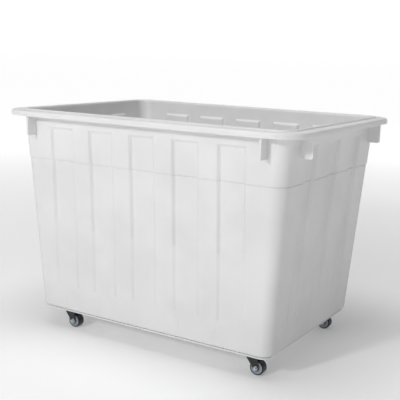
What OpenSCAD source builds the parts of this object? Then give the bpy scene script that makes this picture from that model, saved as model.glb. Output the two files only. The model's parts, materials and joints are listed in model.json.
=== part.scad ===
// Laundry cart: a tapered open tub, moulded in one piece, on four small swivel castors.
// Millimetres. +X is along the tub's length, +Y goes from the front wall to the back wall
// and +Z is up. The origin is on the floor, under the middle of the tub.

/* [Tub] */
// Length over the rim
rim_l = 755; // [700:1:800]
// Width over the rim
rim_w = 550; // [500:1:600]
// Length at the bottom of the walls
base_l = 620; // [560:1:660]
// Width at the bottom of the walls
base_w = 430; // [380:1:470]
// Depth inside, from the top of the rim to the floor
inside_depth = 455; // [400:1:500]
// Thickness of the walls
wall_t = 5.5; // [4:0.1:8]
// Thickness of the floor
floor_t = 6; // [4:0.1:10]
// How far the foot ring stands below the floor
foot_drop = 19; // [10:0.5:25]
// Plan radius of the walls' corners at the top
corner_top = 32; // [20:1:60]
// Plan radius of the walls' corners at the bottom
corner_base = 24; // [18:1:50]

/* [Rim] */
// How far the rim stands out from the walls
rim_out = 34; // [20:0.5:40]
// Height of the rim's turned-down skirt, below the rim's top
skirt_h = 15; // [10:0.5:25]

/* [Wall panels and ribs] */
// Width of one recessed panel
panel_w = 66; // [40:1:80]
// Distance between panels on a long wall
panel_step_long = 110; // [90:1:120]
// Distance between panels on a short wall
panel_step_short = 117; // [90:1:130]
// Depth of a panel at its top
panel_depth = 8.5; // [4:0.1:10]
// Thickness of a rib under the rim
rib_t = 5; // [3:0.5:12]
// How far a rib stands out from the wall
rib_out = 26; // [15:0.5:30]
// How far a rib hangs below the top of the rim
rib_drop = 59; // [40:1:80]

/* [Castors] */
// Distance of a castor from the tub's middle, along its length
caster_x = 250; // [220:1:255]
// Distance of a castor from the tub's middle, along its width
caster_y = 176; // [150:1:180]
// Wheel diameter over the tyre
wheel_d = 32; // [30:1:40]
// Tyre width
wheel_w = 19; // [15:0.5:20]
// Distance from the swivel's axis to the wheel's axle
trail = 19; // [14:0.5:22]
// Height of a castor's mounting plate above the ground, at its top face
caster_h = 54; // [50:0.5:60]

/* [Hidden] */
$fn = 64;

// Colours
tub_white = "#eceeee";
zinc = "#b9c2ca";
black_steel = "#17191c";
hub_grey = "#a3a6a9";
tyre_black = "#1b1e27";

// Heights above the ground
pad_h = 12;
floor_under = caster_h + pad_h;
floor_z = floor_under + floor_t;
foot_z = floor_under - foot_drop;
top_z = floor_z + inside_depth;
wall_lo = foot_z + 13;
wall_hi = top_z - skirt_h;
step_z = foot_z + 368;
step_out = 1.2;
panel_top = top_z - 37;
panel_mid = foot_z + 213;
panel_foot = foot_z + 65;
panel_mid_depth = 0.76 * panel_depth;
rib_z = top_z - rib_drop;
rib_corner = 5;

// Rib places along the walls
rib_x = 298;
rib_y_front = -178;
rib_y_back = 198;

// Half sizes of the walls, and their corner radius, at height z
function share(z) = (max(wall_lo, min(wall_hi, z)) - wall_lo) / (wall_hi - wall_lo);
function half_l(z) = base_l / 2 + (rim_l / 2 - rim_out - base_l / 2) * share(z);
function half_w(z) = base_w / 2 + (rim_w / 2 - rim_out - base_w / 2) * share(z);
function corner(z) = corner_base + (corner_top - corner_base) * share(z);

// Depth of a panel between its middle and its top
function depth_at(z) = panel_mid_depth
  + (panel_depth - panel_mid_depth) * (z - panel_mid) / (panel_top - panel_mid);

// One ring of the tub's surface: base height, offset from the wall line, actual height.
// The rings run from the underside, up the outside, over the rim and down the inside.
in = -wall_t;
in_up = step_out - wall_t;
tub_profile = [
  [wall_lo, -17.5, floor_under],
  [wall_lo, -16.8, foot_z + 1],
  [wall_lo, -15.8, foot_z],
  [wall_lo, -8.7, foot_z],
  [wall_lo, -7.5, foot_z + 1],
  [wall_lo, -7.2, foot_z + 4.4],
  [wall_lo, -6.2, foot_z + 5],
  [wall_lo, -4.2, foot_z + 5.4],
  [wall_lo, -2.3, foot_z + 6.6],
  [wall_lo, -0.7, foot_z + 9],
  [wall_lo, 0, wall_lo],
  [step_z, 0, step_z - 0.6],
  [step_z, step_out, step_z + 0.6],
  [wall_hi, step_out, wall_hi - 2],
  [wall_hi, step_out + 1, wall_hi + 3],
  [wall_hi, step_out + 3.4, wall_hi + 6],
  [wall_hi, step_out + 6.5, top_z - 7.5],
  [wall_hi, rim_out - 4.8, top_z - 7.5],
  [wall_hi, rim_out - 4.2, top_z - 8.3],
  [wall_hi, rim_out - 3.8, wall_hi + 0.8],
  [wall_hi, rim_out - 3, wall_hi],
  [wall_hi, rim_out - 0.8, wall_hi],
  [wall_hi, rim_out, wall_hi + 1],
  [wall_hi, rim_out, top_z - 6.5],
  [wall_hi, rim_out - 0.9, top_z - 4.5],
  [wall_hi, rim_out - 3, top_z - 3.2],
  [wall_hi, rim_out - 6, top_z - 2.8],
  [wall_hi, 7.5, top_z - 2.6],
  [wall_hi, 5.8, top_z - 1.6],
  [wall_hi, 4.2, top_z - 0.5],
  [wall_hi, 2.2, top_z],
  [wall_hi, -0.6, top_z - 0.2],
  [wall_hi, -2.8, top_z - 1.5],
  [wall_hi, -4.1, top_z - 4],
  [wall_hi, in_up, top_z - 8],
  [wall_hi, in_up, wall_hi],
  [step_z, in_up, step_z + 0.6],
  [step_z, in, step_z - 0.6],
  [wall_lo, in, floor_z + 11],
  [wall_lo, in - 1, floor_z + 6.5],
  [wall_lo, in - 3.4, floor_z + 2.9],
  [wall_lo, in - 6.6, floor_z + 0.8],
  [wall_lo, in - 10, floor_z],
];

// Points on one rounded rectangle, anticlockwise from above
corner_steps = 8;
function ring(p) = [
  for (q = [0:3]) for (k = [0:corner_steps])
    let (
      r = corner(p[0]) + p[1],
      a = 90 * q + 90 * k / corner_steps,
      sx = (q == 0 || q == 3) ? 1 : -1,
      sy = q < 2 ? 1 : -1,
      cx = sx * (half_l(p[0]) - corner(p[0])),
      cy = sy * (half_w(p[0]) - corner(p[0]))
    )
    [cx + r * cos(a), cy + r * sin(a), p[2]]
];
ring_n = 4 * (corner_steps + 1);
ring_count = len(tub_profile);
function at(i, j) = i * ring_n + j % ring_n;

// Castor levels, above the ground
plate_t = 2.5;
plate_l = 46;
plate_w = 38;
screw_x = 17;
screw_y = 14;
screw_r = 2.2;
screw_top = floor_under + 1;
axle_z = wheel_d / 2;
plate_z = caster_h - plate_t;
crown_top = caster_h - 8.5;
crown_t = 2.5;
crown_z = crown_top - crown_t;
crown_r = 16;
ball_r = 1.6;
ball_ring_r = 10;
ball_count = 12;
ball_z = crown_top + 1.4;
pin_r = 4;
running = 0.05;
leg_in = 10.5;
leg_t = 2.2;
leg_out = leg_in + leg_t;
axle_r = 2.5;
sleeve_r = 3.5;
hub_r = 13.3;
skin = 0.02;

// The bare tub: one closed skin through all the rings
module tub_shell() {
  points = [for (p = tub_profile) each ring(p)];
  under = [[for (j = [0:ring_n - 1]) j]];
  inside_floor = [[for (j = [ring_n - 1:-1:0]) at(ring_count - 1, j)]];
  first = [for (i = [0:ring_count - 2]) for (j = [0:ring_n - 1])
    [at(i, j), at(i + 1, j), at(i + 1, j + 1)]];
  second = [for (i = [0:ring_count - 2]) for (j = [0:ring_n - 1])
    [at(i, j), at(i + 1, j + 1), at(i, j + 1)]];
  polyhedron(points = points, faces = concat(under, inside_floor, first, second));
}

// Outline of a panel's recess, in (distance from the middle, height)
module recess_outline(top, mid, foot, step) {
  step_depth = depth_at(step_z);
  polygon([
    [top + 12, panel_top + 5],
    [top + 1, panel_top + 5],
    [top + step_out - panel_depth, panel_top - 3],
    [step + step_out - step_depth, step_z + 0.6],
    [step - step_depth, step_z - 0.6],
    [mid - panel_mid_depth, panel_mid],
    [foot, panel_foot],
    [foot + 6, panel_foot - 6],
  ]);
}

// Outline of the thickening behind the recess, on the inside of the wall
module backing_outline(top, mid, foot, step) {
  step_depth = depth_at(step_z) + wall_t;
  polygon([
    [top - 2, panel_top + 14],
    [top - wall_t + 1, panel_top + 14],
    [top + step_out - panel_depth - wall_t, panel_top + 2],
    [step + step_out - step_depth, step_z + 0.6],
    [step - step_depth, step_z - 0.6],
    [mid - panel_mid_depth - wall_t, panel_mid],
    [foot - wall_t + 0.5, panel_foot - 12],
    [foot - 2, panel_foot - 12],
  ]);
}

module long_recess() {
  rotate([90, 0, 90])
    linear_extrude(panel_w, center = true)
      recess_outline(half_w(panel_top), half_w(panel_mid), half_w(panel_foot), half_w(step_z));
}

module long_backing() {
  rotate([90, 0, 90])
    linear_extrude(panel_w + 2 * wall_t, center = true)
      backing_outline(half_w(panel_top), half_w(panel_mid), half_w(panel_foot), half_w(step_z));
}

module short_recess() {
  rotate([90, 0, 0])
    linear_extrude(panel_w - 12, center = true)
      recess_outline(half_l(panel_top), half_l(panel_mid), half_l(panel_foot), half_l(step_z));
}

module short_backing() {
  rotate([90, 0, 0])
    linear_extrude(panel_w - 12 + 2 * wall_t, center = true)
      backing_outline(half_l(panel_top), half_l(panel_mid), half_l(panel_foot), half_l(step_z));
}

// Repeats a long wall's piece at five places on both long walls
module on_long_walls() {
  for (i = [-2:2]) {
    translate([i * panel_step_long, 0, 0]) children();
    translate([i * panel_step_long, 0, 0]) mirror([0, 1, 0]) children();
  }
}

// Repeats a short wall's piece at three places on both short walls
module on_short_walls() {
  for (i = [-1:1]) {
    translate([0, i * panel_step_short, 0]) children();
    translate([0, i * panel_step_short, 0]) mirror([1, 0, 0]) children();
  }
}

// A rib's outline: it fills the space under the flange, with one rounded lower corner
module rib_outline(wall) {
  rib_top = top_z - 5;
  translate([wall - 3, rib_z])
    square([rib_out + 3 - rib_corner, rib_top - rib_z]);
  translate([wall + rib_out - rib_corner - 1, rib_z + rib_corner])
    square([rib_corner + 1, rib_top - rib_z - rib_corner]);
  translate([wall + rib_out - rib_corner, rib_z + rib_corner])
    circle(r = rib_corner);
}

module long_wall_rib() {
  rotate([90, 0, 90])
    linear_extrude(rib_t, center = true)
      rib_outline(half_w(wall_hi));
}

module short_wall_rib() {
  rotate([90, 0, 0])
    linear_extrude(rib_t, center = true)
      rib_outline(half_l(wall_hi));
}

module ribs() {
  for (sx = [-1, 1]) {
    translate([sx * rib_x, 0, 0]) long_wall_rib();
    translate([sx * rib_x, 0, 0]) mirror([0, 1, 0]) long_wall_rib();
  }
  for (y = [rib_y_front, rib_y_back]) {
    translate([0, y, 0]) short_wall_rib();
    translate([0, y, 0]) mirror([1, 0, 0]) short_wall_rib();
  }
}

// Solid pads under the floor that carry the castors
module caster_pads() {
  for (sx = [-1, 1]) for (sy = [-1, 1])
    translate([sx * caster_x, sy * caster_y, caster_h + pad_h / 2 + 1])
      cube([plate_l + 12, plate_w + 8, pad_h + 2], center = true);
}

// Blind holes in the pads for the castors' screws, and room for the king pins' heads
module caster_holes() {
  for (sx = [-1, 1]) for (sy = [-1, 1])
    translate([sx * caster_x, sy * caster_y, 0]) {
      for (bx = [-screw_x, screw_x]) for (by = [-screw_y, screw_y])
        translate([bx, by, caster_h - 1]) cylinder(r = screw_r + skin, h = screw_top - caster_h + 1.5);
      translate([0, 0, caster_h - 1]) cylinder(r = 8, h = 5);
    }
}

module tub() {
  color(tub_white)
    difference() {
      union() {
        tub_shell();
        on_long_walls() long_backing();
        on_short_walls() short_backing();
        ribs();
        caster_pads();
      }
      on_long_walls() long_recess();
      on_short_walls() short_recess();
      caster_holes();
    }
}

module at_caster(sx, sy) {
  translate([sx * caster_x, sy * caster_y, 0]) children();
}

module at_screws() {
  for (bx = [-screw_x, screw_x]) for (by = [-screw_y, screw_y])
    translate([bx, by, 0]) children();
}

// Mounting plate with four screw holes and the king pin's hole
module plate_shape() {
  corner_r = 5;
  color(zinc)
    difference() {
      union() {
        translate([-plate_l / 2 + corner_r, -plate_w / 2, plate_z])
          cube([plate_l - 2 * corner_r, plate_w, plate_t]);
        translate([-plate_l / 2, -plate_w / 2 + corner_r, plate_z])
          cube([plate_l, plate_w - 2 * corner_r, plate_t]);
        for (sx = [-1, 1]) for (sy = [-1, 1])
          translate([sx * (plate_l / 2 - corner_r), sy * (plate_w / 2 - corner_r), plate_z])
            cylinder(r = corner_r, h = plate_t);
      }
      at_screws() translate([0, 0, plate_z - 1]) cylinder(r = screw_r + 0.4, h = plate_t + 2);
      translate([0, 0, plate_z - 1]) cylinder(r = pin_r + skin, h = plate_t + 2);
    }
}

// Ring pressed under the plate, with the upper half of the ball track
module cup_shape() {
  cup_z = ball_z + 1.4;
  color(zinc)
    difference() {
      translate([0, 0, cup_z]) cylinder(r = 14, h = plate_z - cup_z);
      translate([0, 0, cup_z - 1]) cylinder(r = pin_r + skin, h = plate_z - cup_z + 2);
      translate([0, 0, ball_z])
        rotate_extrude() translate([ball_ring_r, 0]) circle(r = ball_r + 0.4);
    }
}

// King pin, riveted over above the plate and below the fork's crown
module pin_shape() {
  head_t = 1.8;
  color(zinc) {
    translate([0, 0, crown_z - 0.2 - head_t]) cylinder(r = 7, h = head_t);
    translate([0, 0, crown_z - 0.3]) cylinder(r = pin_r, h = caster_h - crown_z + 0.4);
    translate([0, 0, caster_h]) cylinder(r = 6.5, h = head_t);
  }
}

// Pan-head screws through the plate into the pad
module screws_shape() {
  head_t = 2.4;
  color(zinc)
    at_screws() {
      translate([0, 0, plate_z - head_t]) cylinder(r = 4.4, h = head_t);
      translate([0, 0, plate_z - 0.1]) cylinder(r = screw_r, h = screw_top - plate_z + 0.1);
    }
}

// One fork leg's outline, in (along the trail, height)
module leg_outline() {
  end_r = 6.6;
  polygon([
    [-4, crown_top],
    [-4, crown_z - 6],
    [trail - end_r - 4, axle_z + 5],
    [trail - end_r, axle_z],
    [trail + end_r, axle_z],
    [trail + 3.4, axle_z + 14],
    [trail + 3, crown_top],
  ]);
  translate([trail, axle_z]) circle(r = end_r);
}

// Swivel fork: a crown that turns on the king pin, and two legs
module fork_shape() {
  color(black_steel)
    difference() {
      union() {
        translate([0, 0, crown_z]) cylinder(r = crown_r, h = crown_t);
        translate([0, -leg_out, crown_z]) cube([trail + 3, 2 * leg_out, crown_t]);
        for (y = [leg_in + leg_t, -leg_in])
          translate([0, y, 0]) rotate([90, 0, 0]) linear_extrude(leg_t) leg_outline();
      }
      translate([0, 0, crown_z - 1]) cylinder(r = pin_r + running, h = crown_t + 2);
      translate([0, 0, ball_z])
        rotate_extrude() translate([ball_ring_r, 0]) circle(r = ball_r + skin);
      translate([trail, leg_out + 1, axle_z])
        rotate([90, 0, 0]) cylinder(r = axle_r + skin, h = 2 * leg_out + 2);
    }
}

module balls_shape() {
  color(zinc)
    for (i = [0:ball_count - 1])
      rotate([0, 0, 360 * i / ball_count])
        translate([ball_ring_r, 0, ball_z]) sphere(r = ball_r, $fn = 24);
}

// Axle bolt, with its head at the back of the fork
module axle_shape() {
  color(zinc)
    translate([trail, 0, axle_z]) rotate([90, 0, 0]) {
      translate([0, 0, -leg_out - 3.2]) cylinder(r = 4.6, h = 3.2, $fn = 6);
      translate([0, 0, -leg_out - 0.1]) cylinder(r = axle_r, h = 2 * leg_out + 5.2);
    }
}

module axle_nut_shape() {
  color(zinc)
    translate([trail, 0, axle_z]) rotate([90, 0, 0])
      difference() {
        union() {
          translate([0, 0, leg_out]) cylinder(r = 5.4, h = 0.8);
          translate([0, 0, leg_out + 0.8]) cylinder(r = 4.6, h = 3.2, $fn = 6);
        }
        translate([0, 0, leg_out - 1]) cylinder(r = axle_r + skin, h = 6);
      }
}

// Sleeve clamped between the legs; the wheel turns on it
module sleeve_shape() {
  color(zinc)
    translate([trail, leg_in - skin, axle_z]) rotate([90, 0, 0])
      difference() {
        cylinder(r = sleeve_r, h = 2 * (leg_in - skin));
        translate([0, 0, -1]) cylinder(r = axle_r + skin, h = 2 * leg_in + 2);
      }
}

module hub_shape() {
  boss = 2 * (leg_in - 0.3);
  felloe = wheel_w - 1.4;
  web = wheel_w - 4.6;
  color(hub_grey)
    translate([trail, 0, axle_z]) rotate([90, 0, 0])
      rotate_extrude() {
        translate([sleeve_r + running, -boss / 2]) square([2.4, boss]);
        translate([sleeve_r + running, -web / 2]) square([hub_r - sleeve_r - 1, web]);
        translate([hub_r - 2.4, -felloe / 2]) square([2.4 - skin, felloe]);
      }
}

module tyre_shape() {
  shoulder = 1.3;
  tyre_r = wheel_d / 2;
  color(tyre_black)
    translate([trail, 0, axle_z]) rotate([90, 0, 0])
      rotate_extrude() {
        translate([hub_r, -wheel_w / 2]) square([tyre_r - hub_r - shoulder, wheel_w]);
        translate([hub_r, -wheel_w / 2 + shoulder])
          square([tyre_r - hub_r, wheel_w - 2 * shoulder]);
        for (side = [-1, 1])
          translate([tyre_r - shoulder, side * (wheel_w / 2 - shoulder)]) circle(r = shoulder);
      }
}

// Front left castor
module fl_plate() {
  at_caster(-1, -1) plate_shape();
}

module fl_cup() {
  at_caster(-1, -1) cup_shape();
}

module fl_pin() {
  at_caster(-1, -1) pin_shape();
}

module fl_screws() {
  at_caster(-1, -1) screws_shape();
}

module fl_fork() {
  at_caster(-1, -1) fork_shape();
}

module fl_balls() {
  at_caster(-1, -1) balls_shape();
}

module fl_axle() {
  at_caster(-1, -1) axle_shape();
}

module fl_axle_nut() {
  at_caster(-1, -1) axle_nut_shape();
}

module fl_sleeve() {
  at_caster(-1, -1) sleeve_shape();
}

module fl_hub() {
  at_caster(-1, -1) hub_shape();
}

module fl_tyre() {
  at_caster(-1, -1) tyre_shape();
}

// Front right castor
module fr_plate() {
  at_caster(1, -1) plate_shape();
}

module fr_cup() {
  at_caster(1, -1) cup_shape();
}

module fr_pin() {
  at_caster(1, -1) pin_shape();
}

module fr_screws() {
  at_caster(1, -1) screws_shape();
}

module fr_fork() {
  at_caster(1, -1) fork_shape();
}

module fr_balls() {
  at_caster(1, -1) balls_shape();
}

module fr_axle() {
  at_caster(1, -1) axle_shape();
}

module fr_axle_nut() {
  at_caster(1, -1) axle_nut_shape();
}

module fr_sleeve() {
  at_caster(1, -1) sleeve_shape();
}

module fr_hub() {
  at_caster(1, -1) hub_shape();
}

module fr_tyre() {
  at_caster(1, -1) tyre_shape();
}

// Rear left castor
module rl_plate() {
  at_caster(-1, 1) plate_shape();
}

module rl_cup() {
  at_caster(-1, 1) cup_shape();
}

module rl_pin() {
  at_caster(-1, 1) pin_shape();
}

module rl_screws() {
  at_caster(-1, 1) screws_shape();
}

module rl_fork() {
  at_caster(-1, 1) fork_shape();
}

module rl_balls() {
  at_caster(-1, 1) balls_shape();
}

module rl_axle() {
  at_caster(-1, 1) axle_shape();
}

module rl_axle_nut() {
  at_caster(-1, 1) axle_nut_shape();
}

module rl_sleeve() {
  at_caster(-1, 1) sleeve_shape();
}

module rl_hub() {
  at_caster(-1, 1) hub_shape();
}

module rl_tyre() {
  at_caster(-1, 1) tyre_shape();
}

// Rear right castor
module rr_plate() {
  at_caster(1, 1) plate_shape();
}

module rr_cup() {
  at_caster(1, 1) cup_shape();
}

module rr_pin() {
  at_caster(1, 1) pin_shape();
}

module rr_screws() {
  at_caster(1, 1) screws_shape();
}

module rr_fork() {
  at_caster(1, 1) fork_shape();
}

module rr_balls() {
  at_caster(1, 1) balls_shape();
}

module rr_axle() {
  at_caster(1, 1) axle_shape();
}

module rr_axle_nut() {
  at_caster(1, 1) axle_nut_shape();
}

module rr_sleeve() {
  at_caster(1, 1) sleeve_shape();
}

module rr_hub() {
  at_caster(1, 1) hub_shape();
}

module rr_tyre() {
  at_caster(1, 1) tyre_shape();
}

tub();
fl_plate();
fl_cup();
fl_pin();
fl_screws();
fl_fork();
fl_balls();
fl_axle();
fl_axle_nut();
fl_sleeve();
fl_hub();
fl_tyre();
fr_plate();
fr_cup();
fr_pin();
fr_screws();
fr_fork();
fr_balls();
fr_axle();
fr_axle_nut();
fr_sleeve();
fr_hub();
fr_tyre();
rl_plate();
rl_cup();
rl_pin();
rl_screws();
rl_fork();
rl_balls();
rl_axle();
rl_axle_nut();
rl_sleeve();
rl_hub();
rl_tyre();
rr_plate();
rr_cup();
rr_pin();
rr_screws();
rr_fork();
rr_balls();
rr_axle();
rr_axle_nut();
rr_sleeve();
rr_hub();
rr_tyre();
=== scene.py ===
"""Laundry cart: a moulded polyethylene tub on four small swivel castors."""
import json
import math

import bmesh
import bpy
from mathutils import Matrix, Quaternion, Vector

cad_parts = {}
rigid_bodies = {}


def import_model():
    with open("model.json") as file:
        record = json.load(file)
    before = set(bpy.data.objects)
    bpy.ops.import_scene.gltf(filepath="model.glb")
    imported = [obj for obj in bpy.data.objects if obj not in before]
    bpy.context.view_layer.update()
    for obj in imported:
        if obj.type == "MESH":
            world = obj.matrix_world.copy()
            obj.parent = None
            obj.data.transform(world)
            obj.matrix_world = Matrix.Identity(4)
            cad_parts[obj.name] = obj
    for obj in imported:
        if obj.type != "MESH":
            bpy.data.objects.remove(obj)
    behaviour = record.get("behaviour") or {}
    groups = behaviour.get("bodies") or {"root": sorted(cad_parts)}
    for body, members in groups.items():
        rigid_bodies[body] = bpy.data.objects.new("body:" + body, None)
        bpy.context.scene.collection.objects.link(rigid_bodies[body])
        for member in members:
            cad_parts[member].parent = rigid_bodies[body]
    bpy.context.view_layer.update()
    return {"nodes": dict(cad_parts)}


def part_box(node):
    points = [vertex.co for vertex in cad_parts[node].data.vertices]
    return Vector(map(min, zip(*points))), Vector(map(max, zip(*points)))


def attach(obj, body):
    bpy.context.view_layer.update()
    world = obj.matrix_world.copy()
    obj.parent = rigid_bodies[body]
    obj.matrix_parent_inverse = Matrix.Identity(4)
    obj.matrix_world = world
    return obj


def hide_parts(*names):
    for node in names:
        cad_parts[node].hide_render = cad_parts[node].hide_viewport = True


bl_info = {
    "name": "Laundry cart",
    "version": (1, 0, 0),
    "blender": (4, 5, 0),
    "location": "3D View > Sidebar > Laundry cart",
    "description": "Builds the laundry cart's visible pieces around its packed frame",
    "category": "Object",
}

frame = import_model()
TUB_LOW, TUB_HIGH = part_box("tub")
PLATE_LOW, PLATE_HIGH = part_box("fl_plate")
FORK_LOW, FORK_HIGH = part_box("fl_fork")
TYRE_LOW, TYRE_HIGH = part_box("fl_tyre")
HUB_LOW, HUB_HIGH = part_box("fl_hub")
NUT_LOW, NUT_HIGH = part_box("fl_axle_nut")
AXLE_LOW, AXLE_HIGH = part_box("fl_axle")

MM = 0.001
CASTORS = ("fl", "fr", "rl", "rr")

CORNER_STEPS = 12  # segments of a tub corner
LONG_WALL_PANELS = [place * 110 * MM for place in (-2, -1, 0, 1, 2)]
SHORT_WALL_PANELS = [place * 117 * MM for place in (-1, 0, 1)]
SHORT_WALL_NARROWER = 12 * MM  # how much less wide the panels on the short walls are
FRONT_AND_BACK_RIBS = (-298 * MM, 298 * MM)
SIDE_RIBS = (-178 * MM, 198 * MM)
FORK_HALF_WIDTH = 12.7 * MM  # from the middle of a fork to a leg's outer face

STAGE_SIZE = 400
BACKDROP_HEIGHT = 60
BACKDROP_BEND = 30
STAGE_TURN = 0.55  # turns the backdrop to stand square behind the cart, in radians
SURROUNDINGS = 0.2
LIGHTS = (  # name, place, where it aims, diameter, power
    ("key", (-0.55, -3.15, 1.62), (0, 0, 0.3), 0.35, 35),
    ("front_panel", (0.9, -2.6, 2.1), (0, 0, 0.4), 1.8, 9),
    ("overhead", (0.0, -0.35, 2.65), (0, 0, 0.2), 1.4, 24),
)
CAMERA_PLACE = (0.992, -1.606, 0.678)
CAMERA_YAW, CAMERA_PITCH, CAMERA_ROLL = 0.5515, 0.1896, 0.0286
CAMERA_LENS, CAMERA_SENSOR = 72, 36


def from_hex(code):
    """Turns an sRGB hex colour into linear red, green, blue and alpha."""
    parts = [int(code[i:i + 2], 16) / 255 for i in (0, 2, 4)]
    return tuple(p / 12.92 if p <= 0.04045 else ((p + 0.055) / 1.055) ** 2.4 for p in parts) + (1.0,)


def length_prop(name, description, default):
    """A length in metres that a user may change."""
    return bpy.props.FloatProperty(
        name=name, description=description, default=default, min=0, unit="LENGTH", precision=4)


def colour_prop(name, description, code):
    """A colour that a user may change, from its sRGB hex value."""
    return bpy.props.FloatVectorProperty(
        name=name, description=description, default=from_hex(code), size=4, min=0, max=1, subtype="COLOR")


class CartTubSizes(bpy.types.PropertyGroup):
    """Sizes of the tub."""
    rim_length: length_prop("Rim length", "Length over the rim", TUB_HIGH.x - TUB_LOW.x)
    rim_width: length_prop("Rim width", "Width over the rim", TUB_HIGH.y - TUB_LOW.y)
    top: length_prop("Top", "Height of the rim's top", TUB_HIGH.z)
    foot: length_prop("Foot", "Height of the foot ring's lower edge", TUB_LOW.z)
    base_length: length_prop("Base length", "Length at the bottom of the walls", 0.620)
    base_width: length_prop("Base width", "Width at the bottom of the walls", 0.430)
    wall: length_prop("Wall", "Thickness of the walls", 0.0055)
    rim_out: length_prop("Rim reach", "How far the rim stands out from the walls", 0.034)
    skirt: length_prop("Skirt", "Height of the rim's turned-down skirt", 0.015)
    corner_top: length_prop("Upper corner", "Corner radius of the walls at the top", 0.032)
    corner_base: length_prop("Lower corner", "Corner radius of the walls at the bottom", 0.024)
    step_out: length_prop("Step", "How far the walls stand out above the step line", 0.0012)
    panel_width: length_prop("Panel", "Width of a recessed panel on a long wall", 0.066)
    panel_depth: length_prop("Panel depth", "Depth of a panel at its top", 0.0065)
    panel_draft: length_prop("Panel draft", "Width of the slope round a panel", 0.0058)
    rib: length_prop("Rib", "Thickness of a rib under the rim", 0.005)
    rib_out: length_prop("Rib reach", "How far a rib stands out from the wall", 0.026)
    rib_drop: length_prop("Rib drop", "How far a rib hangs below the rim's top", 0.059)


class CartCastorSizes(bpy.types.PropertyGroup):
    """Sizes of one castor."""
    tyre_radius: length_prop("Tyre radius", "Outer radius of the tyre", (TYRE_HIGH.z - TYRE_LOW.z) / 2)
    tyre_width: length_prop("Tyre width", "Width of the tyre", TYRE_HIGH.y - TYRE_LOW.y)
    hub_radius: length_prop("Hub radius", "Outer radius of the hub", (HUB_HIGH.z - HUB_LOW.z) / 2)
    hub_width: length_prop("Hub width", "Length of the hub's boss", HUB_HIGH.y - HUB_LOW.y)
    leg: length_prop("Leg", "Thickness of a fork leg", 0.0022)
    nut_radius: length_prop("Nut radius", "Corner radius of the axle nut", 0.0046)
    flange_radius: length_prop("Flange radius", "Radius of the nut's flange", (NUT_HIGH.x - NUT_LOW.x) / 2)
    axle_radius: length_prop("Axle radius", "Radius of the axle", 0.0025)


class CartColours(bpy.types.PropertyGroup):
    """Colours of the finishes."""
    polyethylene: colour_prop("Polyethylene", "Colour of the tub", "E3E3E3")
    zinc: colour_prop("Zinc", "Colour of the plated steel", "B9C2C9")
    steel: colour_prop("Steel", "Colour of the bright steel", "C6C9CB")
    nut: colour_prop("Nut", "Colour of the axle nut", "C3D1DD")
    fork: colour_prop("Fork", "Colour of the coated fork", "0C0F15")
    hub: colour_prop("Hub", "Colour of the wheel's hub", "A9AAB0")
    tyre: colour_prop("Tyre", "Colour of the tyre", "161A25")
    floor: colour_prop("Floor", "Colour of the floor", "EEEEEE")


# Handling of pieces in the modelling operators

def deselect():
    """Leaves edit mode and deselects every object."""
    if bpy.context.object and bpy.context.object.mode != "OBJECT":
        bpy.ops.object.mode_set(mode="OBJECT")
    bpy.ops.object.select_all(action="DESELECT")


def only(piece):
    """Makes this the only selected object and the active one."""
    deselect()
    piece.select_set(True)
    bpy.context.view_layer.objects.active = piece


def named(name):
    """Names the new primitive and puts its place into its mesh."""
    piece = bpy.context.object
    piece.name = piece.data.name = name
    bpy.ops.object.transform_apply(location=True, rotation=True, scale=True)
    return piece


def drum(name, radius, depth, centre, steps, axis="Y"):
    """A cylinder primitive that lies along the Y axis, as an axle does, or stands along Z."""
    deselect()
    turn = {"Y": (math.pi / 2, 0, 0), "Z": (0, 0, 0)}[axis]
    bpy.ops.mesh.primitive_cylinder_add(
        vertices=steps, radius=radius, depth=depth, location=centre, rotation=turn)
    return named(name)


def block(name, low, high):
    """A cube primitive between two corners."""
    deselect()
    low, high = Vector(low), Vector(high)
    bpy.ops.mesh.primitive_cube_add(size=1, location=(low + high) / 2, scale=high - low)
    return named(name)


def edit(piece):
    """Opens a piece in edit mode."""
    only(piece)
    bpy.ops.object.mode_set(mode="EDIT")


def done():
    """Closes edit mode."""
    bpy.ops.object.mode_set(mode="OBJECT")


def middle(part):
    """Middle of an edge or a face, or a vertex's place."""
    if isinstance(part, bmesh.types.BMFace):
        return part.calc_center_median()
    if isinstance(part, bmesh.types.BMEdge):
        return (part.verts[0].co + part.verts[1].co) / 2
    return part.co


def pick(kind, test):
    """In edit mode, selects only the vertices, edges or faces that pass a test."""
    mesh = bmesh.from_edit_mesh(bpy.context.object.data)
    bpy.ops.mesh.select_mode(type=kind)
    bpy.ops.mesh.select_all(action="DESELECT")
    parts = {"VERT": mesh.verts, "EDGE": mesh.edges, "FACE": mesh.faces}[kind]
    for part in [p for p in parts if test(p)]:
        part.select_set(True)
    mesh.select_flush_mode()
    bmesh.update_edit_mesh(bpy.context.object.data)


def pick_open_edges():
    """In edit mode, selects the edges of a hole or of an open outline."""
    bpy.ops.mesh.select_mode(type="EDGE")
    bpy.ops.mesh.select_all(action="DESELECT")
    bpy.ops.mesh.select_non_manifold(
        extend=False, use_wire=True, use_boundary=True,
        use_multi_face=False, use_non_contiguous=False, use_verts=False)


def apply_modifier(piece, kind, **settings):
    """Adds a modifier with its settings and applies it."""
    only(piece)
    modifier = piece.modifiers.new(kind.title(), kind)
    for name, value in settings.items():
        setattr(modifier, name, value)
    bpy.ops.object.modifier_apply(modifier=modifier.name)


def unite(piece, *others, operation="UNION"):
    """Joins other solids into a piece, or cuts it with them, and removes them."""
    for other in others:
        apply_modifier(piece, "BOOLEAN", object=other, operation=operation, solver="EXACT")
        bpy.data.objects.remove(other)
    edit(piece)
    bpy.ops.mesh.select_all(action="SELECT")
    bpy.ops.mesh.remove_doubles(threshold=0.00001)
    bpy.ops.mesh.dissolve_degenerate(threshold=0.00001)
    done()


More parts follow.
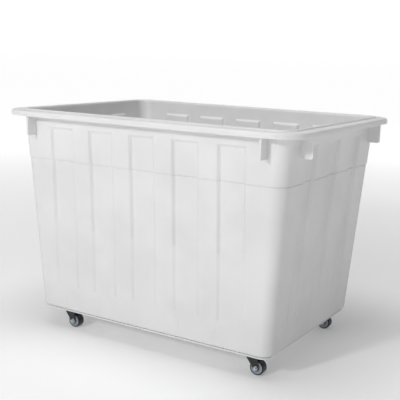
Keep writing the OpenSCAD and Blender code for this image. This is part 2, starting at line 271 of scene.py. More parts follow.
def smooth(piece, degrees=32):
    """Smooth shading between faces that meet at less than this angle."""
    only(piece)
    bpy.ops.object.shade_smooth_by_angle(angle=math.radians(degrees))


def soft_edges(piece, width, segments=2, degrees=35):
    """Rounds the edges sharper than an angle and keeps the flats between them looking flat."""
    apply_modifier(
        piece, "BEVEL", width=width, segments=segments, limit_method="ANGLE",
        angle_limit=math.radians(degrees), miter_outer="MITER_ARC")
    smooth(piece)
    apply_modifier(piece, "WEIGHTED_NORMAL", keep_sharp=True, weight=60)


def finish_piece(piece, material, slot, body, *nodes):
    """Gives a piece its finish, its body and the nodes it stands for."""
    piece.data.materials.clear()
    piece.data.materials.append(material)
    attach(piece, body)
    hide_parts(*nodes)


def copy_to(piece, castor, name):
    """Copies a front left castor's piece to another castor, with its own mesh."""
    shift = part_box(castor + "_plate")[0] - PLATE_LOW
    only(piece)
    bpy.ops.object.duplicate(linked=False)
    made = bpy.context.object
    made.name = made.data.name = name
    edit(made)
    bpy.ops.mesh.select_all(action="SELECT")
    bpy.ops.transform.translate(value=shift)
    done()
    return made


# Materials

def add_node(tree, kind, links=(), **settings):
    """Adds a node with its settings; links are (input, other node's output)."""
    made = tree.nodes.new(kind)
    for name, value in settings.items():
        socket = name.replace("_", " ")
        if hasattr(made, name):
            setattr(made, name, value)
        else:
            made.inputs[socket].default_value = value
    for socket, output in links:
        tree.links.new(output, made.inputs[socket])
    return made


def new_material(name, **settings):
    """A material with a Principled shader, the object's own coordinates and the shader's settings."""
    material = bpy.data.materials.new(name)
    material.use_nodes = True
    tree = material.node_tree
    shader = tree.nodes["Principled BSDF"]
    for socket, value in settings.items():
        shader.inputs[socket.replace("_", " ")].default_value = value
    place = add_node(tree, "ShaderNodeTexCoord").outputs["Object"]
    return material, tree, shader, place


def noise(tree, place, grain, detail=3.0, stretch=None):
    """Noise whose grain is a length in metres, stretched where one is given."""
    if stretch:
        place = add_node(tree, "ShaderNodeMapping", [("Vector", place)], Scale=stretch).outputs["Vector"]
    return add_node(
        tree, "ShaderNodeTexNoise", [("Vector", place)], Scale=1 / grain, Detail=detail).outputs["Fac"]


def remap(tree, value, low, high, to_low, to_high):
    """Stretches a value's range to another range, and clamps it there."""
    return add_node(
        tree, "ShaderNodeMapRange", [("Value", value)],
        From_Min=low, From_Max=high, To_Min=to_low, To_Max=to_high).outputs["Result"]


def blend_colours(tree, share, first, second):
    """Mixes two colours, or a socket and a colour, by a share."""
    mix = add_node(tree, "ShaderNodeMix", data_type="RGBA")
    tree.links.new(share, mix.inputs["Factor"])
    for socket, colour in (("A", first), ("B", second)):
        entry = [i for i in mix.inputs if i.name == socket and i.type == "RGBA"][0]
        if isinstance(colour, bpy.types.NodeSocket):
            tree.links.new(colour, entry)
        else:
            entry.default_value = colour
    return [o for o in mix.outputs if o.type == "RGBA"][0]


def shade(colour, factor):
    """A colour made darker or lighter by a factor."""
    return tuple(min(1.0, c * factor) for c in colour[:3]) + (1.0,)


def add_bump(tree, shader, height, distance, strength=1.0, under=None):
    """Adds a bump of a height in metres to the shader, on top of another bump where one is given."""
    links = [("Height", height)] + ([("Normal", under)] if under else [])
    bump = add_node(tree, "ShaderNodeBump", links, Distance=distance, Strength=strength)
    tree.links.new(bump.outputs["Normal"], shader.inputs["Normal"])
    return bump.outputs["Normal"]


def polyethylene(colour):
    # Injection-moulded HDPE: waxy white with a satin gloss, faintly uneven walls, a fine
    # orange-peel grain and hair scratches from use.
    material, tree, shader, place = new_material("moulded_hdpe", IOR=1.54)
    cloud = noise(tree, place, 0.090, 2.0)
    clouded = blend_colours(
        tree, remap(tree, cloud, 0.35, 0.65, 0.0, 1.0), shade(colour, 0.965), shade(colour, 1.02))
    rub = noise(tree, place, 0.012, 6.0, stretch=(1.0, 1.0, 0.22))
    low = add_node(tree, "ShaderNodeSeparateXYZ", [("Vector", place)]).outputs["Z"]
    near_floor = remap(tree, low, 0.16, 0.05, 0.0, 1.0)
    rubbed = remap(tree, rub, 0.60, 0.74, 0.0, 0.5)
    share = add_node(tree, "ShaderNodeMath", operation="MULTIPLY", use_clamp=True)
    tree.links.new(near_floor, share.inputs[0])
    tree.links.new(rubbed, share.inputs[1])
    scuffed = blend_colours(tree, share.outputs["Value"], clouded, from_hex("C9CBCA"))
    tree.links.new(scuffed, shader.inputs["Base Color"])
    scratches = noise(tree, place, 0.0016, 4.0, stretch=(0.12, 0.12, 1.0))
    rough = remap(tree, scratches, 0.45, 0.75, 0.40, 0.50)
    tree.links.new(rough, shader.inputs["Roughness"])
    waves = add_bump(tree, shader, noise(tree, place, 0.110, 1.0), 0.0009)
    add_bump(tree, shader, noise(tree, place, 0.0022, 2.0), 0.00002, 0.6, waves)
    return material


def zinc_plate(colour):
    # Pressed steel sheet, zinc plated: a pale grey metal with a cloudy crystal pattern.
    material, tree, shader, place = new_material("zinc_plated_sheet", Metallic=1.0)
    crystals = add_node(tree, "ShaderNodeTexVoronoi", [("Vector", place)], Scale=1 / 0.003)
    grey = add_node(tree, "ShaderNodeRGBToBW", [("Color", crystals.outputs["Color"])]).outputs["Val"]
    cloudy = blend_colours(tree, grey, shade(colour, 0.82), shade(colour, 1.05))
    tree.links.new(cloudy, shader.inputs["Base Color"])
    tree.links.new(remap(tree, grey, 0.0, 1.0, 0.30, 0.46), shader.inputs["Roughness"])
    add_bump(tree, shader, noise(tree, place, 0.0012), 0.00001)
    return material


def bright_steel(name, colour, roughness):
    # Turned and plated steel: a clear metal with fine turning marks and small stains.
    material, tree, shader, place = new_material(name, Metallic=1.0)
    stain = noise(tree, place, 0.0035)
    stained = blend_colours(
        tree, remap(tree, stain, 0.4, 0.7, 0.0, 1.0), colour, shade(colour, 0.78))
    tree.links.new(stained, shader.inputs["Base Color"])
    uneven = remap(tree, stain, 0.3, 0.7, roughness * 0.8, roughness * 1.4)
    tree.links.new(uneven, shader.inputs["Roughness"])
    add_bump(tree, shader, noise(tree, place, 0.0005), 0.000006)
    return material


def coated_steel(colour):
    # Pressed steel with a satin black electro-coat: almost black with a soft blue sheen,
    # slightly rough, with a few lighter rubbed spots.
    material, tree, shader, place = new_material(
        "black_coated_steel", IOR=1.5, Coat_Weight=0.25, Coat_Roughness=0.2)
    rub = remap(tree, noise(tree, place, 0.004, 5.0), 0.62, 0.78, 0.0, 0.55)
    tree.links.new(blend_colours(tree, rub, colour, from_hex("3A3F47")), shader.inputs["Base Color"])
    uneven = remap(tree, noise(tree, place, 0.0018), 0.3, 0.7, 0.30, 0.44)
    tree.links.new(uneven, shader.inputs["Roughness"])
    add_bump(tree, shader, noise(tree, place, 0.0009), 0.000012)
    return material


def hub_plastic(colour):
    # Moulded polypropylene: a matt light grey with a fine grain and faint darker dust.
    material, tree, shader, place = new_material("grey_polypropylene", IOR=1.49)
    dust = remap(tree, noise(tree, place, 0.005, 4.0), 0.45, 0.75, 0.0, 0.6)
    tree.links.new(blend_colours(tree, dust, colour, shade(colour, 0.72)), shader.inputs["Base Color"])
    tree.links.new(remap(tree, dust, 0.0, 0.6, 0.44, 0.62), shader.inputs["Roughness"])
    add_bump(tree, shader, noise(tree, place, 0.0006), 0.00001)
    return material


def tyre_polyurethane(colour):
    # Cast polyurethane tread: dark blue-black, half glossy where it is new, greyer where
    # floor dust sticks to the running face.
    material, tree, shader, place = new_material("dark_polyurethane", IOR=1.5)
    dust = remap(tree, noise(tree, place, 0.006, 6.0), 0.5, 0.75, 0.0, 0.5)
    tree.links.new(blend_colours(tree, dust, colour, from_hex("454953")), shader.inputs["Base Color"])
    tree.links.new(remap(tree, dust, 0.0, 0.5, 0.32, 0.6), shader.inputs["Roughness"])
    add_bump(tree, shader, noise(tree, place, 0.0012), 0.00002)
    return material


def stage_floor(colour):
    # Matt paper with a painted glow: it emits light of its own, weakly near the cart and more strongly
    # further away, so it shows as a pale sheet.
    material, tree, shader, place = new_material(
        "glowing_floor_paper", IOR=1.4, Roughness=0.9, Emission_Color=(1, 1, 1, 1))
    reach = add_node(tree, "ShaderNodeVectorMath", [("Vector", place)], operation="LENGTH")
    # Painted glow: the emission strength grows with the distance from the cart.
    glow = remap(tree, reach.outputs["Value"], 0.5, 3.5, 0.18, 0.78)
    tree.links.new(glow, shader.inputs["Emission Strength"])
    grain = noise(tree, place, 0.25, 2.0)
    tree.links.new(blend_colours(tree, grain, colour, shade(colour, 0.985)), shader.inputs["Base Color"])
    return material


FINISHES = {}


class CART_OT_finishes(bpy.types.Operator):
    """Makes the cart's materials and puts them on the frame's nodes."""
    bl_idname = "cart.finishes"
    bl_label = "Finishes"

    def execute(self, context):
        colours = context.scene.cart_colours
        FINISHES.update(
            tub=polyethylene(colours.polyethylene),
            zinc=zinc_plate(colours.zinc),
            steel=bright_steel("bright_steel", colours.steel, 0.24),
            nut=bright_steel("blue_white_zinc", colours.nut, 0.26),
            fork=coated_steel(colours.fork),
            hub=hub_plastic(colours.hub),
            tyre=tyre_polyurethane(colours.tyre),
        )
        kinds = {
            "tub": "tub", "plate": "zinc", "cup": "zinc", "pin": "steel", "screws": "steel",
            "fork": "fork", "balls": "steel", "axle": "nut", "axle_nut": "nut", "sleeve": "steel",
            "hub": "hub", "tyre": "tyre",
        }
        for name, node in frame["nodes"].items():
            kind = name if name == "tub" else name.split("_", 1)[1]
            node.data.materials.clear()
            node.data.materials.append(FINISHES[kinds[kind]])
        return {"FINISHED"}


# The tub

class TubLines:
    """Where the tub's walls run, from its sizes."""

    def __init__(self, sizes):
        self.sizes = sizes
        self.low = sizes.foot + 13 * MM
        self.high = sizes.top - sizes.skirt
        self.floor = sizes.foot + 25 * MM
        self.under = sizes.foot + 19 * MM
        self.step = sizes.foot + 368 * MM
        self.panel_top = sizes.top - 37 * MM
        self.panel_mid = sizes.foot + 213 * MM
        self.panel_foot = sizes.foot + 65 * MM

    def share(self, z):
        """How far up the tapering walls a height is, from 0 to 1."""
        return (min(max(z, self.low), self.high) - self.low) / (self.high - self.low)

    def half_l(self, z):
        """Half the tub's length at a height."""
        low, high = self.sizes.base_length / 2, self.sizes.rim_length / 2 - self.sizes.rim_out
        return low + (high - low) * self.share(z)

    def half_w(self, z):
        """Half the tub's width at a height."""
        low, high = self.sizes.base_width / 2, self.sizes.rim_width / 2 - self.sizes.rim_out
        return low + (high - low) * self.share(z)

    def corner(self, z):
        """Corner radius at a height."""
        low, high = self.sizes.corner_base, self.sizes.corner_top
        return low + (high - low) * self.share(z)

    def nearest_wall(self, place):
        """The axis across the nearest wall: 0 for the short walls and 1 for the long ones."""
        return int(abs(place.y) / self.half_w(place.z) > abs(place.x) / self.half_l(place.z))

    def panel_depth(self, z):
        """Depth of a panel at a height: full at the top, three quarters half way, none at the foot."""
        full, half = self.sizes.panel_depth, self.sizes.panel_depth * 0.76
        if z > self.panel_mid:
            return half + (full - half) * (z - self.panel_mid) / (self.panel_top - self.panel_mid)
        return half * max(0, z - self.panel_foot) / (self.panel_mid - self.panel_foot)

    def rings(self):
        """Rings of the tub's skin from the underside, up the outside, over the rim and down the inside."""
        low, high, top, foot = self.low, self.high, self.sizes.top, self.sizes.foot
        out, wall = self.sizes.rim_out, self.sizes.wall
        foot_ring = [(-17.5, 19), (-17.2, 3), (-16.6, 1), (-15.4, 0), (-7.2, 0), (-5.9, 0.5),
                     (-5.2, 1.6), (-5.0, 3.8), (-8.4, 4.5), (-8.4, 5.5), (-4.5, 6.0), (-2.5, 7.1),
                     (-1.0, 8.9), (-0.25, 11), (0, 13)]
        flange_under = [(0, -3), (1.5, 0), (2.4, 3), (4.0, 5.4), (6.2, 6.9), (8.6, 7.5)]
        skirt = [(-5.4, 7.5), (-4.4, 7.1), (-3.9, 6.2), (-3.8, 1), (-3.5, 0.35), (-2.9, 0.05), (-1.1, 0),
                 (-0.4, 0.3), (0, 1)]
        edge = [(0, -7.2), (-0.3, -5.6), (-1.1, -4.2), (-2.4, -3.3), (-4.0, -2.9)]
        bead = [(9.3, -2.7), (8.6, -2.8), (8.0, -3.4), (7.4, -2.9), (6.9, -1.9), (6.0, -0.9),
                (4.6, -0.3), (2.6, -0.05), (0.6, 0), (-1.6, -0.6), (-3.0, -1.8), (-3.9, -3.6), (-4.3, -6),
                (-4.3, -10)]
        inside_foot = [(0, 11), (-0.3, 8.5), (-1.4, 5.4), (-3.4, 2.8), (-6.1, 1.0), (-8.7, 0.2), (-11, 0)]
        rows = [(low, a * MM, foot + z * MM) for a, z in foot_ring]
        rows += [(high, a * MM, high + z * MM) for a, z in flange_under]
        rows += [(high, out + a * MM, high + z * MM) for a, z in skirt]
        rows += [(high, out + a * MM, top + z * MM) for a, z in edge]
        rows += [(high, a * MM, top + z * MM) for a, z in bead]
        rows += [(low, -wall + a * MM, self.floor + z * MM) for a, z in inside_foot]
        return [(self.half_l(b) + o, self.half_w(b) + o, self.corner(b) + o, z) for b, o, z in rows]


def shape_ring(half_l, half_w, radius, z):
    """In edit mode, turns the selected plane into a rounded rectangle."""
    bpy.ops.transform.resize(value=(half_l, half_w, 1), center_override=(0, 0, z))
    bpy.ops.mesh.select_mode(type="VERT")
    bpy.ops.mesh.bevel(offset=radius, segments=CORNER_STEPS, affect="VERTICES")
    bpy.ops.mesh.delete(type="ONLY_FACE")


def loft(name, rings):
    """A closed skin through rounded rectangles, with both ends filled."""
    deselect()
    bpy.ops.mesh.primitive_plane_add(size=2, location=(0, 0, 0))
    piece = named(name)
    edit(piece)
    bpy.ops.mesh.select_all(action="SELECT")
    bpy.ops.transform.translate(value=(0, 0, rings[0][3]))
    shape_ring(*rings[0])
    bpy.ops.mesh.select_all(action="SELECT")
    bpy.ops.mesh.edge_face_add()
    for ring in rings[1:]:
        bpy.ops.mesh.select_all(action="DESELECT")
        bpy.ops.mesh.primitive_plane_add(size=2, location=(0, 0, ring[3]))
        shape_ring(*ring)
        pick_open_edges()
        bpy.ops.mesh.bridge_edge_loops()
    pick_open_edges()
    bpy.ops.mesh.edge_face_add()
    bpy.ops.mesh.select_all(action="SELECT")
    bpy.ops.mesh.normals_make_consistent(inside=False)
    done()
    return piece


def press_panels(lines, outer):
    """In edit mode, presses the panels into the walls' outer skin, or out of their inner skin."""
    sizes = lines.sizes
    grow = 0 if outer else sizes.wall * 0.8
    top = lines.panel_top + grow
    rows = (lines.panel_foot, lines.panel_mid, top)
    half_panel = sizes.panel_width / 2
    walls = (  # axis across the wall, axis along it, middles of the panels, half width
        (1, 0, LONG_WALL_PANELS, half_panel + grow),
        (0, 1, SHORT_WALL_PANELS, half_panel - SHORT_WALL_NARROWER / 2 + grow),
    )

    def on_wall(part, across):
        place = middle(part)
        facing = part.normal[across] * (1 if place[across] > 0 else -1)
        return (lines.low < place.z < lines.high - 2 * MM and abs(facing) > 0.9
                and (facing > 0) == outer and abs(place[across]) > 0.15)

    for across, along, middles, half in walls:
        edge_normal = [0, 0, 0]
        edge_normal[along] = 1
        for place in [m + s * half for m in middles for s in (-1, 1)]:
            pick("FACE", lambda f: on_wall(f, across))
            point = [0, 0, 0]
            point[along] = place
            bpy.ops.mesh.bisect(plane_co=point, plane_no=edge_normal)
        for z in rows:
            pick("FACE", lambda f: on_wall(f, across))
            bpy.ops.mesh.bisect(plane_co=(0, 0, z), plane_no=(0, 0, 1))

    def in_panel(face):
        place = face.calc_center_median()
        return rows[0] < place.z < top and any(
            on_wall(face, across) and any(abs(place[along] - m) < half for m in middles)
            for across, along, middles, half in walls)

    pick("FACE", in_panel)
    bpy.ops.mesh.inset(thickness=sizes.panel_draft, depth=0, use_even_offset=True)
    mesh = bmesh.from_edit_mesh(bpy.context.object.data)
    inner = {v for f in mesh.faces if f.select for v in f.verts}
    moves = {}
    for vert in inner:
        across = lines.nearest_wall(vert.co)
        depth = lines.panel_depth(min(vert.co.z, lines.panel_top))
        key = (across, vert.co[across] > 0, round(depth, 6))
        moves.setdefault(key, set()).add(tuple(round(c, 6) for c in vert.co))
    for (across, far, depth), places in moves.items():
        if depth < 0.00001:
            continue
        pick("VERT", lambda v: tuple(round(c, 6) for c in v.co) in places)
        value = [0, 0, 0]
        value[across] = -depth if far else depth
        bpy.ops.transform.translate(value=value)

    def is_fold(edge):
        place = middle(edge)
        if len(edge.link_faces) != 2 or not rows[0] - 5 * MM < place.z < top + 5 * MM:
            return False
        on_any = any(abs(place[across]) > 0.15 and on_side(edge, across) for across, *_ in walls)
        return on_any and edge.calc_face_angle(0) > 0.16

    def on_side(edge, across):
        return any(
            abs(f.normal[across]) > 0.9
            and (f.normal[across] * (1 if middle(f)[across] > 0 else -1) > 0) == outer
            for f in edge.link_faces)

    pick("EDGE", is_fold)
    bpy.ops.mesh.bevel(offset=1.5 * MM, segments=3, affect="EDGES", clamp_overlap=True)


def draw_step(lines):
    """In edit mode, sets the outer skin back in a groove and lets it stand out above the step line."""
    highest = lines.high - 1 * MM

    def outward(face):
        place = face.calc_center_median()
        across = lines.nearest_wall(place)
        return face.normal[across] * place[across] > 0.02 and lines.low < place.z < highest

    # height over the step line in millimetres, and share of the step that the skin moves out by
    rows = ((-2.6, 0.0), (-1.6, -1.0), (-0.3, -1.0), (0.2, 1.0))
    for height, _ in rows:
        pick("FACE", outward)
        bpy.ops.mesh.bisect(plane_co=(0, 0, lines.step + height * MM), plane_no=(0, 0, 1))
    above_rim = (1000, 0)
    for (height, share), (following, _) in zip(rows[1:], rows[2:] + (above_rim,)):
        low, high = lines.step + (height - 0.1) * MM, lines.step + (following - 0.1) * MM
        pick("VERT", lambda v: low < v.co.z < min(high, highest)
             and any(outward(f) for f in v.link_faces))
        out = lines.sizes.step_out * share
        bpy.ops.transform.resize(
            value=(1 + out / lines.half_l(lines.step), 1 + out / lines.half_w(lines.step), 1),
            center_override=(0, 0, 0))


def rib_block(lines, across, side, place):
    """One rib under the rim, from inside the wall to near the skirt, with a rounded lower corner."""
    sizes = lines.sizes
    wall = lines.half_w(lines.high) if across == 1 else lines.half_l(lines.high)
    near, far = wall - 3 * MM, wall + sizes.rib_out
    low_z, high_z = sizes.top - sizes.rib_drop, sizes.top - 5 * MM
    low, high = [0, 0, low_z], [0, 0, high_z]
    along = 1 - across
    low[along], high[along] = place - sizes.rib / 2, place + sizes.rib / 2
    low[across], high[across] = (near, far) if side > 0 else (-far, -near)
    piece = block("rib", low, high)
    edit(piece)
    pick("EDGE", lambda e: abs(middle(e)[across] - side * far) < 0.1 * MM
         and abs(middle(e).z - low_z) < 0.1 * MM)
    bpy.ops.mesh.bevel(offset=5 * MM, segments=5, affect="EDGES")
    pick("EDGE", lambda e: e.calc_face_angle(0) > 0.6 and middle(e).z < high_z - 1 * MM)
    bpy.ops.mesh.bevel(offset=0.8 * MM, segments=2, affect="EDGES")
    done()
    return piece


def castor_pad(lines, castor):
    """The thickened pad under the tub's floor that a castor's plate is screwed to."""
    low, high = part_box(castor + "_plate")
    pad = block("pad", (low.x - 6 * MM, low.y - 4 * MM, high.z),
                (high.x + 6 * MM, high.y + 4 * MM, lines.under + 1 * MM))
    edit(pad)
    pick("EDGE", lambda e: abs(e.verts[0].co.z - e.verts[1].co.z) > 1 * MM)
    bpy.ops.mesh.bevel(offset=4 * MM, segments=4, affect="EDGES")
    pick("FACE", lambda f: f.normal.z < -0.9)
    bpy.ops.mesh.bevel(offset=0.8 * MM, segments=2, affect="EDGES")
    done()
    return pad


class CART_OT_tub(bpy.types.Operator):
    """Models the tub as one moulding: skin, panels, ribs and castor pads."""
    bl_idname = "cart.tub"
    bl_label = "Tub"

    def execute(self, context):
        lines = TubLines(context.scene.cart_tub)
        tub = loft("tub_moulding", lines.rings())
        edit(tub)
        press_panels(lines, outer=True)
        press_panels(lines, outer=False)
        draw_step(lines)
        done()
        ribs = [rib_block(lines, 1, side, x) for side in (-1, 1) for x in FRONT_AND_BACK_RIBS]
        ribs += [rib_block(lines, 0, side, y) for side in (-1, 1) for y in SIDE_RIBS]
        pads = [castor_pad(lines, castor) for castor in CASTORS]
        unite(tub, *ribs, *pads)
        smooth(tub, 35)
        apply_modifier(tub, "WEIGHTED_NORMAL", keep_sharp=True, weight=80)
        finish_piece(tub, FINISHES["tub"], "tub_plastic", "cart", "tub")
        return {"FINISHED"}


# The castors

def fork_leg(sizes, centre, axle, side):
    """One leg: broad under the crown, narrowing to a round eye at the axle."""
    top = FORK_HIGH.z
    end = axle.z - FORK_LOW.z
    y_out = centre.y + side * FORK_HALF_WIDTH
    y_in = y_out - side * sizes.leg
    low_y, high_y = min(y_out, y_in), max(y_out, y_in)
    leg = block("leg", (centre.x - 4 * MM, low_y, axle.z), (axle.x + 3 * MM, high_y, top))
    edit(leg)
    bpy.ops.mesh.select_all(action="SELECT")
    bpy.ops.mesh.bisect(plane_co=(0, 0, top - 8.5 * MM), plane_no=(0, 0, 1))
    pick("VERT", lambda v: v.co.z < axle.z + 0.1 * MM and v.co.x < axle.x)
    bpy.ops.transform.translate(value=(axle.x - end - centre.x + 4 * MM, 0, 0))
    pick("VERT", lambda v: v.co.z < axle.z + 0.1 * MM and v.co.x > axle.x)
    bpy.ops.transform.translate(value=(end - 3 * MM, 0, 0))
    done()
    eye = drum("eye", end, sizes.leg, (axle.x, (low_y + high_y) / 2, axle.z), 48)
    unite(leg, eye)
    return leg


def fork_piece(sizes):
    """A pressed fork: a round crown, a bridge over the wheel and two legs, bored for the axle."""
    centre = (PLATE_LOW + PLATE_HIGH) / 2
    axle = Vector(((TYRE_LOW.x + TYRE_HIGH.x) / 2, centre.y, (TYRE_LOW.z + TYRE_HIGH.z) / 2))
    top, thickness = FORK_HIGH.z, 2.5 * MM
    fork = drum("fork", 16 * MM, thickness, (centre.x, centre.y, top - thickness / 2), 64, "Z")
    bridge = block("bridge", (centre.x - 4 * MM, centre.y - FORK_HALF_WIDTH, top - thickness),
                   (axle.x + 3 * MM, centre.y + FORK_HALF_WIDTH, top))
    legs = [fork_leg(sizes, centre, axle, side) for side in (-1, 1)]
    unite(fork, bridge, *legs)
    bore = drum("bore", sizes.axle_radius, 2 * (FORK_HIGH.y - FORK_LOW.y), axle, 32)
    unite(fork, bore, operation="DIFFERENCE")
    soft_edges(fork, 0.45 * MM)
    return fork


def wheel_tyre(sizes, centre):
    """A ring with rounded shoulders."""
    bore_radius = sizes.hub_radius + 0.02 * MM
    tyre = drum("tyre", sizes.tyre_radius, sizes.tyre_width, centre, 80)
    edit(tyre)
    pick("FACE", lambda f: abs(f.normal.y) > 0.9)
    bpy.ops.mesh.inset(thickness=sizes.tyre_radius - bore_radius, use_even_offset=True)
    bpy.ops.mesh.delete(type="FACE")
    pick_open_edges()
    bpy.ops.mesh.bridge_edge_loops()

    def on_circle(edge, radius):
        level = abs(edge.verts[0].co.y - edge.verts[1].co.y) < 0.01 * MM
        return level and all(
            abs(math.hypot(v.co.x - centre.x, v.co.z - centre.z) - radius) < 0.1 * MM
            for v in edge.verts)

    pick("EDGE", lambda e: on_circle(e, sizes.tyre_radius))
    bpy.ops.mesh.bevel(offset=2.2 * MM, segments=5, affect="EDGES")
    pick("EDGE", lambda e: on_circle(e, bore_radius))
    bpy.ops.mesh.bevel(offset=0.35 * MM, segments=2, affect="EDGES")
    bpy.ops.mesh.select_all(action="SELECT")
    bpy.ops.mesh.normals_make_consistent(inside=False)
    done()
    smooth(tyre, 40)
    return tyre


def wheel_hub(sizes, centre):
    """A moulded hub: outer ring, sunk web, boss and bore."""
    half = sizes.hub_width / 2
    ring_half = sizes.tyre_width / 2 - 0.7 * MM
    ring, ring_slope, sunk = 2.0 * MM, 0.5 * MM, 1.6 * MM
    boss_foot, boss_slope, bore_radius = 6.2 * MM, 0.4 * MM, 3.55 * MM
    hub = drum("hub", sizes.hub_radius, 2 * ring_half, centre, 80)
    edit(hub)
    pick("FACE", lambda f: abs(f.normal.y) > 0.9)
    bpy.ops.mesh.inset(thickness=ring, depth=0)
    bpy.ops.mesh.inset(thickness=ring_slope, depth=-sunk)
    bpy.ops.mesh.inset(thickness=sizes.hub_radius - ring - ring_slope - boss_foot, depth=0)
    bpy.ops.mesh.inset(thickness=boss_slope, depth=half - ring_half + sunk)
    bpy.ops.mesh.inset(thickness=boss_foot - boss_slope - bore_radius, depth=0)
    bpy.ops.mesh.delete(type="FACE")
    pick_open_edges()
    bpy.ops.mesh.bridge_edge_loops()
    bpy.ops.mesh.select_all(action="SELECT")
    bpy.ops.mesh.normals_make_consistent(inside=False)
    done()
    soft_edges(hub, 0.3 * MM, degrees=30)
    return hub


def hexagon(name, radius, depth, centre, chamfer_side):
    """A hexagon with its corners chamfered on one face, as a nut or bolt head has."""
    nut = drum(name, radius, depth, centre, 6)
    behind = (centre.x, centre.y - chamfer_side * depth / 2, centre.z)
    cone = drum("chamfer", radius * 1.02, depth * 2, behind, 48)
    edit(cone)
    pick("FACE", lambda f: f.normal.y * chamfer_side > 0.9)
    bpy.ops.mesh.bevel(offset=0.75 * MM, segments=1, affect="EDGES")
    done()
    unite(nut, cone, operation="INTERSECT")
    return nut


def axle_nut(sizes):
    """A flanged nut on the front leg, bored for the axle's end."""
    centre = (NUT_LOW + NUT_HIGH) / 2
    flange_thickness, overlap = 0.8 * MM, 0.2 * MM
    depth = NUT_HIGH.y - NUT_LOW.y - flange_thickness
    nut = hexagon("nut", sizes.nut_radius, depth,
                  Vector((centre.x, NUT_LOW.y + depth / 2, centre.z)), -1)
    flange = drum("flange", sizes.flange_radius, flange_thickness + overlap,
                  (centre.x, NUT_HIGH.y - (flange_thickness + overlap) / 2, centre.z), 48)
    edit(flange)
    pick("FACE", lambda f: f.normal.y < -0.9)
    bpy.ops.mesh.bevel(offset=0.5 * MM, segments=2, affect="EDGES")
    done()
    bore = drum("bore", sizes.axle_radius + 0.02 * MM, 20 * MM, centre, 32)
    unite(nut, flange)
    unite(nut, bore, operation="DIFFERENCE")
    soft_edges(nut, 0.15 * MM, 1, 25)
    return nut


def axle_bolt(sizes):
    """A plain axle with a chamfered end and a hexagon head."""
    centre = (AXLE_LOW + AXLE_HIGH) / 2
    head_thickness, overlap = 3.2 * MM, 0.5 * MM
    head = hexagon("axle", sizes.nut_radius, head_thickness,
                   Vector((centre.x, AXLE_HIGH.y - head_thickness / 2, centre.z)), 1)
    shank_end = AXLE_HIGH.y - head_thickness + overlap
    shank = drum("shank", sizes.axle_radius, shank_end - AXLE_LOW.y,
                 (centre.x, (AXLE_LOW.y + shank_end) / 2, centre.z), 32)
    edit(shank)
    pick("FACE", lambda f: f.normal.y < -0.9)
    bpy.ops.mesh.bevel(offset=0.6 * MM, segments=2, affect="EDGES")
    done()
    unite(head, shank)
    soft_edges(head, 0.15 * MM, 1, 25)
    return head


def softened_copy(node, name, width):
    """A copy of a pressed or turned node with its sharp edges broken."""
    only(frame["nodes"][node])
    bpy.ops.object.duplicate(linked=False)
    made = bpy.context.object
    bpy.ops.object.parent_clear(type="CLEAR")
    for key in list(made.keys()):
        del made[key]
    made.name = made.data.name = name
    edit(made)
    bpy.ops.mesh.select_all(action="SELECT")
    bpy.ops.mesh.remove_doubles(threshold=0.000005)
    bpy.ops.mesh.dissolve_limited(angle_limit=math.radians(1))
    done()
    soft_edges(made, width, degrees=40)
    return made


def body_of(castor, part):
    """The body that a castor's part rides on: the cart itself, or the castor's yoke or wheel."""
    return "cart" if part == "cart" else f"{castor}_{part}"


def for_all_castors(piece, kind, finish, slot, body_part, node):
    """Copies a front left piece to every castor and finishes the four."""
    for castor in CASTORS[1:]:
        made = copy_to(piece, castor, f"{castor}_{kind}")
        finish_piece(made, FINISHES[finish], slot, body_of(castor, body_part), f"{castor}_{node}")
    piece.name = piece.data.name = f"fl_{kind}"
    finish_piece(piece, FINISHES[finish], slot, body_of("fl", body_part), f"fl_{node}")


class CART_OT_wheels(bpy.types.Operator):
    """Models the wheels: tyre and hub, once, and copies them to the four castors."""
    bl_idname = "cart.wheels"
    bl_label = "Wheels"

    def execute(self, context):
        sizes = context.scene.cart_castors
        centre = (TYRE_LOW + TYRE_HIGH) / 2
        for_all_castors(wheel_tyre(sizes, centre), "tyre_moulding", "tyre", "tyre_rubber", "wheel", "tyre")
        for_all_castors(wheel_hub(sizes, centre), "hub_moulding", "hub", "hub_plastic", "wheel", "hub")
        return {"FINISHED"}


class CART_OT_forks(bpy.types.Operator):
    """Models the swivel forks with their axle bolts and nuts."""
    bl_idname = "cart.forks"
    bl_label = "Forks"

    def execute(self, context):
        sizes = context.scene.cart_castors
        for_all_castors(fork_piece(sizes), "fork_pressing", "fork", "black_steel", "yoke", "fork")
        for_all_castors(axle_nut(sizes), "flange_nut", "nut", "zinc_bolt", "yoke", "axle_nut")
        for_all_castors(axle_bolt(sizes), "axle_bolt", "nut", "zinc_bolt", "yoke", "axle")
        return {"FINISHED"}


class CART_OT_mountings(bpy.types.Operator):
    """Models the mounting plates, ball cups, king pins and screws."""
    bl_idname = "cart.mountings"
    bl_label = "Mountings"

    def execute(self, context):
        rows = (  # node, finish, slot, width of its rounded edges in millimetres
            ("plate", "zinc", "zinc_plate", 0.4),
            ("cup", "zinc", "zinc_plate", 0.5),
            ("pin", "steel", "zinc_plate", 0.5),
            ("screws", "steel", "bright_steel", 0.7),
        )
        for node, finish, slot, width in rows:
            piece = softened_copy(f"fl_{node}", f"fl_{node}_finished", width * MM)
            for_all_castors(piece, f"{node}_finished", finish, slot, "cart", node)
        return {"FINISHED"}


# The stage

def area_light(name, place, aim, size, power):
    """A round soft light that aims at a point."""
    light = bpy.data.objects.new(name, bpy.data.lights.new(name, "AREA"))
    bpy.context.scene.collection.objects.link(light)
    light.data.shape = "DISK"
    light.data.size = size
    light.data.energy = power
    light.location = place
    light.rotation_euler = (Vector(aim) - Vector(place)).to_track_quat("-Z", "Y").to_euler()


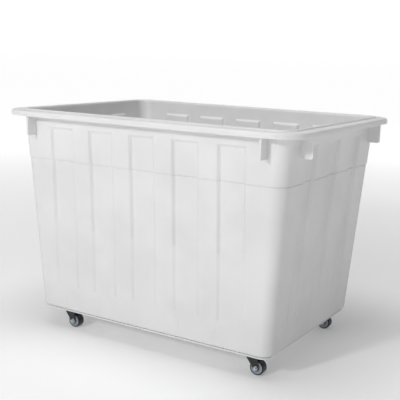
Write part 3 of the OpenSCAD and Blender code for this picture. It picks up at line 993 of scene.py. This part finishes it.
def backdrop(colour):
    """A floor sheet that curves up to a wall far behind the cart."""
    deselect()
    bpy.ops.mesh.primitive_plane_add(size=STAGE_SIZE, location=(0, 0, 0), rotation=(0, 0, STAGE_TURN))
    edit(bpy.context.object)
    pick("EDGE", lambda e: middle(e).y > STAGE_SIZE / 2 - 1)
    bpy.ops.mesh.extrude_region_move(TRANSFORM_OT_translate={"value": (0, 0, BACKDROP_HEIGHT)})
    pick("EDGE", lambda e: len(e.link_faces) == 2)
    bpy.ops.mesh.bevel(offset=BACKDROP_BEND, segments=16, affect="EDGES")
    done()
    floor = named("stage_floor")
    smooth(floor, 60)
    floor.data.materials.append(stage_floor(colour))


def studio_camera(scene):
    """The camera, turned by yaw and pitch and then rolled about its own line of sight."""
    camera = bpy.data.objects.new("camera", bpy.data.cameras.new("camera"))
    scene.collection.objects.link(camera)
    camera.data.sensor_width = CAMERA_SENSOR
    camera.data.lens = CAMERA_LENS
    camera.location = CAMERA_PLACE
    ahead = Vector((
        -math.sin(CAMERA_YAW) * math.cos(CAMERA_PITCH),
        math.cos(CAMERA_YAW) * math.cos(CAMERA_PITCH),
        -math.sin(CAMERA_PITCH)))
    level = ahead.to_track_quat("-Z", "Y")
    camera.rotation_mode = "QUATERNION"
    camera.rotation_quaternion = level @ Quaternion((0, 0, 1), CAMERA_ROLL)
    scene.camera = camera


class CART_OT_stage(bpy.types.Operator):
    """Sets out the floor, the lights and the camera."""
    bl_idname = "cart.stage"
    bl_label = "Stage"

    def execute(self, context):
        scene = context.scene
        backdrop(scene.cart_colours.floor)
        scene.world = scene.world or bpy.data.worlds.new("studio")
        scene.world.use_nodes = True
        background = scene.world.node_tree.nodes["Background"]
        background.inputs["Color"].default_value = (1, 1, 1, 1)
        background.inputs["Strength"].default_value = SURROUNDINGS
        for light in LIGHTS:
            area_light(*light)
        scene.view_settings.view_transform = "Standard"
        studio_camera(scene)
        return {"FINISHED"}


class CART_PT_sidebar(bpy.types.Panel):
    """Lists the cart's sizes, colours and steps."""
    bl_idname = "CART_PT_sidebar"
    bl_label = "Laundry cart"
    bl_space_type = "VIEW_3D"
    bl_region_type = "UI"
    bl_category = "Laundry cart"

    def draw(self, context):
        scene = context.scene
        for group in (scene.cart_tub, scene.cart_castors, scene.cart_colours):
            box = self.layout.box()
            for name in group.__annotations__:
                box.prop(group, name)
        for operator in STEPS:
            self.layout.operator(operator.bl_idname)


STEPS = (CART_OT_finishes, CART_OT_stage, CART_OT_tub, CART_OT_wheels, CART_OT_forks, CART_OT_mountings)
CLASSES = (CartTubSizes, CartCastorSizes, CartColours, *STEPS, CART_PT_sidebar)


def register():
    for cls in CLASSES:
        bpy.utils.register_class(cls)
    bpy.types.Scene.cart_tub = bpy.props.PointerProperty(type=CartTubSizes)
    bpy.types.Scene.cart_castors = bpy.props.PointerProperty(type=CartCastorSizes)
    bpy.types.Scene.cart_colours = bpy.props.PointerProperty(type=CartColours)


def unregister():
    for name in ("cart_tub", "cart_castors", "cart_colours"):
        delattr(bpy.types.Scene, name)
    for cls in reversed(CLASSES):
        bpy.utils.unregister_class(cls)


def main():
    register()
    bpy.ops.cart.finishes()
    bpy.ops.cart.stage()
    bpy.ops.cart.tub()
    bpy.ops.cart.wheels()
    bpy.ops.cart.forks()
    bpy.ops.cart.mountings()


if __name__ == "__main__":
    main()
